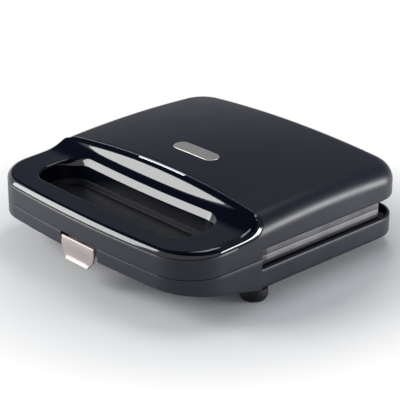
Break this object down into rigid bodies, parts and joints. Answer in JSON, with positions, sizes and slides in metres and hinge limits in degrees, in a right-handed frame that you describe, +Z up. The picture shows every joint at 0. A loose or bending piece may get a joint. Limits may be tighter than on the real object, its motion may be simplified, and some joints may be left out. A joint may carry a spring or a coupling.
{
  "type": "sandwich toaster",
  "caption": "Countertop sandwich toaster: hinged lid with a finger pocket, heated plates with triangular cavities, sprung front latch and rubber feet.",
  "frame": {"origin": "on the table, under the middle of the box round the whole toaster, with the lid closed", "axes": "+Z up; -Y towards the front, where the pocket and the latch are; +X to the right seen from the front"},
  "size_m": [0.23, 0.2374, 0.0743],
  "materials": {
    "satin_plastic": "satin moulded plastic with a very fine grain",
    "gloss_plastic": "polished black moulded plastic",
    "plate_coating": "cast metal with a dark non-stick coating",
    "element_steel": "dull tempered tube",
    "sheet_steel": "plain pressed sheet and plated fasteners",
    "ceramic": "matte glazed",
    "wire_insulation": "matte glass-fibre sleeve",
    "foot_rubber": "matte moulded rubber",
    "latch_metal": "pale rose-grey metallic",
    "lens": "clear moulded strip",
    "red_glass": "tinted glow lamp",
    "green_glass": "tinted glow lamp",
    "badge_metal": "satin metallic plate, left bare"
  },
  "bodies": {
    "base": {"base_shell": "satin_plastic", "base_deck": "satin_plastic", "lower_plate": "plate_coating", "lower_element": "element_steel", "lower_element_clamps": "sheet_steel", "lower_reflector": "sheet_steel", "lower_plate_screws": "sheet_steel", "base_deck_screws": "sheet_steel", "thermostat": "ceramic", "thermal_fuse": "ceramic", "terminal_block": "ceramic", "base_wiring": "wire_insulation", "lead_gland": "foot_rubber", "foot_front_left": "foot_rubber", "foot_front_right": "foot_rubber", "foot_rear_left": "foot_rubber", "foot_rear_right": "foot_rubber", "hinge_pin_left": "sheet_steel", "hinge_pin_right": "sheet_steel", "latch_pin": "sheet_steel", "latch_spring": "sheet_steel"},
    "lid": {"lid_shell": "satin_plastic", "front_panel": "gloss_plastic", "handle_tray": "satin_plastic", "handle_screws": "sheet_steel", "upper_plate": "plate_coating", "upper_element": "element_steel", "upper_element_clamps": "sheet_steel", "upper_reflector": "sheet_steel", "upper_plate_screws": "sheet_steel", "lid_screws": "sheet_steel", "hinge_bracket_left": "sheet_steel", "hinge_bracket_right": "sheet_steel", "hinge_bracket_screws": "sheet_steel", "indicator_lens": "lens", "lamp_holder": "ceramic", "red_lamp": "red_glass", "green_lamp": "green_glass", "badge": "badge_metal"},
    "latch": {"latch": "latch_metal"}
  },
  "joints": [
    {"name": "lid_hinge", "type": "hinge", "parent": "base", "child": "lid", "pos_m": [0, 0.112, 0.035], "axis": [-1, 0, 0], "range_deg": [0, 100]},
    {"name": "latch_pull", "type": "hinge", "parent": "base", "child": "latch", "pos_m": [0, -0.1112, 0.0283], "axis": [-1, 0, 0], "range_deg": [0, 14], "stiffness_Nm_per_rad": 0.1}
  ]
}
